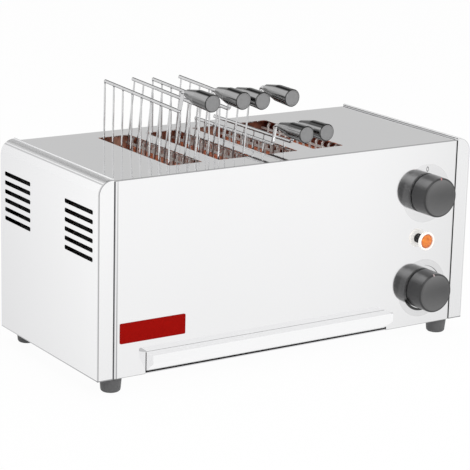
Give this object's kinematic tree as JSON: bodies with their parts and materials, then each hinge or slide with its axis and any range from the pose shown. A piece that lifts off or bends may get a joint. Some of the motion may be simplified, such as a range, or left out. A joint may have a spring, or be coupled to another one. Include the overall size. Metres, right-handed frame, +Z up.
{
  "type": "croque monsieur toaster",
  "caption": "Countertop toaster for toasted sandwiches: steel case, upright slots with quartz heaters, lift-out wire tongs, timer and selector knobs, crumb tray.",
  "frame": {"origin": "on the table plane at the middle of the overall box, under the case", "axes": "+X to the user's right along the case, -Y towards the user, +Z up"},
  "size_m": [0.5, 0.2878, 0.3302],
  "materials": {
    "side_steel": "satin stainless steel",
    "front_steel": "bright annealed stainless steel",
    "pan_steel": "plain stainless steel sheet",
    "chamber_steel": "aluminised sheet, heat stained",
    "wire_steel": "polished stainless steel wire",
    "handle_plastic": "dark heat-resistant plastic",
    "knob_plastic": "dark plastic",
    "foot_rubber": "black rubber",
    "quartz_glass": "clear quartz tube",
    "element_wire": "wound resistance wire",
    "white_ceramic": "unglazed ceramic",
    "lamp_orange": "translucent orange lens",
    "lamp_pale": "pale plastic ring",
    "black_plastic": "black plastic",
    "screw_steel": "plated steel"
  },
  "bodies": {
    "case": {"back_panel": "pan_steel", "back_screws": "screw_steel", "bottom_pan": "pan_steel", "cable_gland": "black_plastic", "ceramic_caps": "white_ceramic", "control_partition": "chamber_steel", "foot_front_left": "foot_rubber", "foot_front_right": "foot_rubber", "foot_rear_left": "foot_rubber", "foot_rear_right": "foot_rubber", "foot_screws": "screw_steel", "front_element_plate": "chamber_steel", "front_panel": "front_steel", "gland_nut": "black_plastic", "heating_coils": "element_wire", "lamp_body": "black_plastic", "lamp_lens": "lamp_orange", "lamp_ring": "lamp_pale", "left_end_cap": "side_steel", "left_reflector": "chamber_steel", "quartz_tubes_1": "quartz_glass", "quartz_tubes_2": "quartz_glass", "quartz_tubes_3": "quartz_glass", "quartz_tubes_4": "quartz_glass", "quartz_tubes_5": "quartz_glass", "rear_element_plate": "chamber_steel", "right_end_cap": "side_steel", "selector_body": "black_plastic", "slot_guards_1": "wire_steel", "slot_guards_2": "wire_steel", "slot_guards_3": "wire_steel", "slot_guards_4": "wire_steel", "terminal_block": "white_ceramic", "timer_body": "black_plastic", "tong_rest_bars": "wire_steel", "top_plate": "front_steel", "tray_rails": "pan_steel"},
    "timer_dial": {"timer_knob": "knob_plastic", "timer_shaft": "screw_steel"},
    "selector_dial": {"selector_knob": "knob_plastic", "selector_shaft": "screw_steel"},
    "tray": {"crumb_tray": "front_steel"},
    "tong_1": {"tong_1_left_grid": "wire_steel", "tong_1_clips": "wire_steel", "tong_1_left_handle": "handle_plastic"},
    "tong_1_flap": {"tong_1_right_grid": "wire_steel", "tong_1_right_handle": "handle_plastic"},
    "tong_2": {"tong_2_left_grid": "wire_steel", "tong_2_clips": "wire_steel", "tong_2_left_handle": "handle_plastic"},
    "tong_2_flap": {"tong_2_right_grid": "wire_steel", "tong_2_right_handle": "handle_plastic"},
    "tong_3": {"tong_3_left_grid": "wire_steel", "tong_3_clips": "wire_steel", "tong_3_left_handle": "handle_plastic"},
    "tong_3_flap": {"tong_3_right_grid": "wire_steel", "tong_3_right_handle": "handle_plastic"}
  },
  "joints": [
    {"name": "tong_1_lift", "type": "slide", "parent": "case", "child": "tong_1", "axis": [0, -0.0384, 0.9993], "range_m": [-0.044, 0.06]},
    {"name": "tong_1_open", "type": "hinge", "parent": "tong_1", "child": "tong_1_flap", "pos_m": [-0.115, 0.01172, 0.15399], "axis": [0, 0.9993, 0.0384], "range_deg": [-5.5, 0]},
    {"name": "tong_2_lift", "type": "slide", "parent": "case", "child": "tong_2", "axis": [0, -0.0384, 0.9993], "range_m": [-0.045, 0.06]},
    {"name": "tong_2_open", "type": "hinge", "parent": "tong_2", "child": "tong_2_flap", "pos_m": [-0.04951, 0.01171, 0.15169], "axis": [0, 0.9993, 0.0384], "range_deg": [-5.3, 0]},
    {"name": "tong_3_lift", "type": "slide", "parent": "case", "child": "tong_3", "axis": [0, 0, 1], "range_m": [0, 0.112]},
    {"name": "tong_3_open", "type": "hinge", "parent": "tong_3", "child": "tong_3_flap", "pos_m": [0.0114, 0.01393, 0.101], "axis": [0, 1, 0], "range_deg": [-1.6, 3]},
    {"name": "timer_turn", "type": "hinge", "parent": "case", "child": "timer_dial", "pos_m": [0.1878, -0.10107, 0.1782], "axis": [0, 1, 0], "range_deg": [0, 300]},
    {"name": "selector_turn", "type": "hinge", "parent": "case", "child": "selector_dial", "pos_m": [0.1878, -0.10107, 0.0629], "axis": [0, 1, 0], "range_deg": [0, 270]},
    {"name": "tray_slide", "type": "slide", "parent": "case", "child": "tray", "axis": [0, -1, 0], "range_m": [0, 0.19]}
  ]
}
